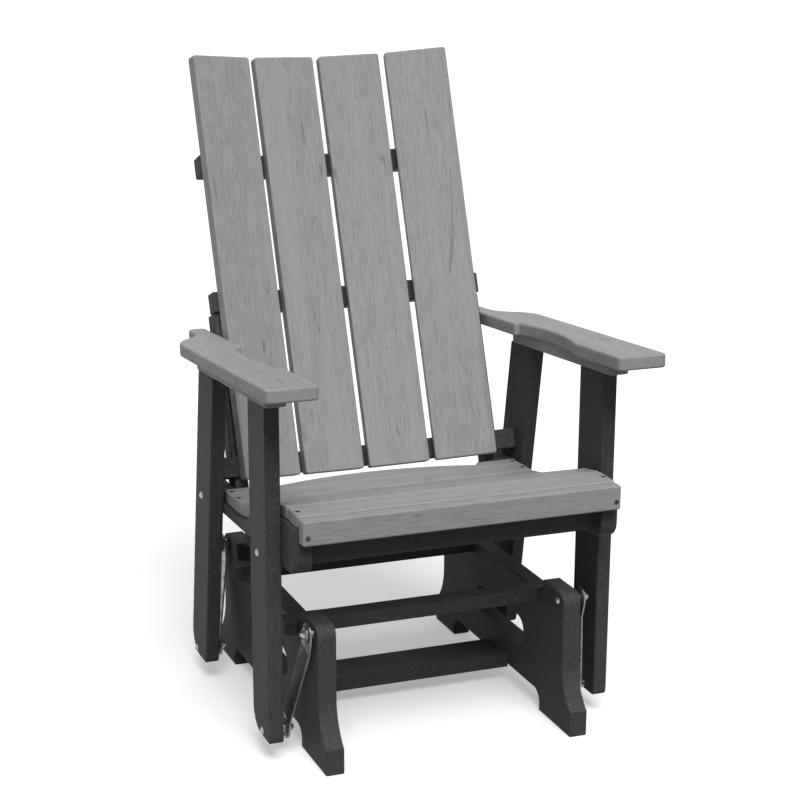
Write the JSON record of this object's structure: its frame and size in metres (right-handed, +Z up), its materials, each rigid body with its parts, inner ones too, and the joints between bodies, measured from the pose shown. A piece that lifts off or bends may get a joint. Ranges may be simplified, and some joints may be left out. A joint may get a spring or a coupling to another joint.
{
  "type": "glider chair",
  "caption": "Reclined slatted glider armchair of plastic boards: the seat frame hangs on swinging steel links from a standing base with toe-shaped feet.",
  "frame": {"origin": "on the floor, midway between the two side panels and midway between the front and rear toes of the base", "axes": "+Z up, the chair faces -Y, and +X is to the right as seen from the front"},
  "size_m": [0.682, 0.7739, 1.0992],
  "materials": {
    "light_board": "matte plastic board with a fine drawn grain, light grey",
    "dark_board": "matte plastic board with a fine speckle, charcoal",
    "link_steel": "satin stainless strip",
    "bolt_steel": "bright stainless",
    "screw_steel": "satin stainless, slightly dulled",
    "bearing_plastic": "smooth moulded nylon"
  },
  "bodies": {
    "base": {"base_panel_left": "dark_board", "base_panel_right": "dark_board", "base_screws": "screw_steel", "lower_stretcher": "dark_board", "upper_pivot_bolts": "bolt_steel", "upper_pivot_nuts": "bolt_steel", "upper_pivot_spacers": "bolt_steel", "upper_pivot_washers": "bolt_steel", "upper_stretcher_front": "dark_board", "upper_stretcher_rear": "dark_board"},
    "link_front_left": {"bearings_front_left": "bearing_plastic", "link_front_left": "link_steel"},
    "link_front_right": {"bearings_front_right": "bearing_plastic", "link_front_right": "link_steel"},
    "link_rear_left": {"bearings_rear_left": "bearing_plastic", "link_rear_left": "link_steel"},
    "link_rear_right": {"bearings_rear_right": "bearing_plastic", "link_rear_right": "link_steel"},
    "seat": {"arm_cleat_left": "light_board", "arm_cleat_right": "light_board", "arm_left": "light_board", "arm_right": "light_board", "arm_screws": "screw_steel", "back_screws": "screw_steel", "back_slat_1": "light_board", "back_slat_2": "light_board", "back_slat_3": "light_board", "back_slat_4": "light_board", "back_upright_left": "dark_board", "back_upright_right": "dark_board", "bottom_back_rail": "dark_board", "front_board": "light_board", "front_cross_rail": "dark_board", "front_post_left": "dark_board", "front_post_right": "dark_board", "lower_pivot_bolts": "bolt_steel", "lower_pivot_nuts": "bolt_steel", "lower_pivot_spacers": "bolt_steel", "lower_pivot_washers": "bolt_steel", "middle_back_rail": "dark_board", "post_bolts": "bolt_steel", "post_nuts": "bolt_steel", "rail_screws": "screw_steel", "rear_cross_rail": "dark_board", "rear_post_left": "dark_board", "rear_post_right": "dark_board", "rear_seat_slat": "light_board", "seat_rail_left": "dark_board", "seat_rail_right": "dark_board", "seat_screws": "screw_steel", "seat_slat_1": "light_board", "seat_slat_2": "light_board", "seat_slat_3": "light_board", "seat_slat_4": "light_board", "seat_slat_5": "light_board", "seat_slat_6": "light_board", "seat_slat_7": "light_board", "top_back_rail": "dark_board", "upright_screws": "screw_steel"}
  },
  "joints": [
    {"name": "front_left_link_swing", "type": "hinge", "parent": "base", "child": "link_front_left", "pos_m": [-0.2475, -0.244, 0.23], "axis": [1, 0, 0], "range_deg": [-15, 15]},
    {"name": "front_right_link_swing", "type": "hinge", "parent": "base", "child": "link_front_right", "pos_m": [0.2475, -0.244, 0.23], "axis": [1, 0, 0], "range_deg": [-15, 15]},
    {"name": "rear_left_link_swing", "type": "hinge", "parent": "base", "child": "link_rear_left", "pos_m": [-0.2475, 0.244, 0.23], "axis": [1, 0, 0], "range_deg": [-15, 15]},
    {"name": "rear_right_link_swing", "type": "hinge", "parent": "base", "child": "link_rear_right", "pos_m": [0.2475, 0.244, 0.23], "axis": [1, 0, 0], "range_deg": [-15, 15]},
    {"name": "seat_glide", "type": "hinge", "parent": "link_front_left", "child": "seat", "pos_m": [-0.2691, -0.19, 0.046], "axis": [1, 0, 0], "range_deg": [-18.63, 18.63]}
  ],
  "couplings": [
    {"joint": "front_right_link_swing", "follows": "front_left_link_swing", "ratio": 1},
    {"joint": "rear_left_link_swing", "follows": "front_left_link_swing", "ratio": 1},
    {"joint": "rear_right_link_swing", "follows": "front_left_link_swing", "ratio": 1},
    {"joint": "seat_glide", "follows": "front_left_link_swing", "ratio": -1.2218}
  ]
}
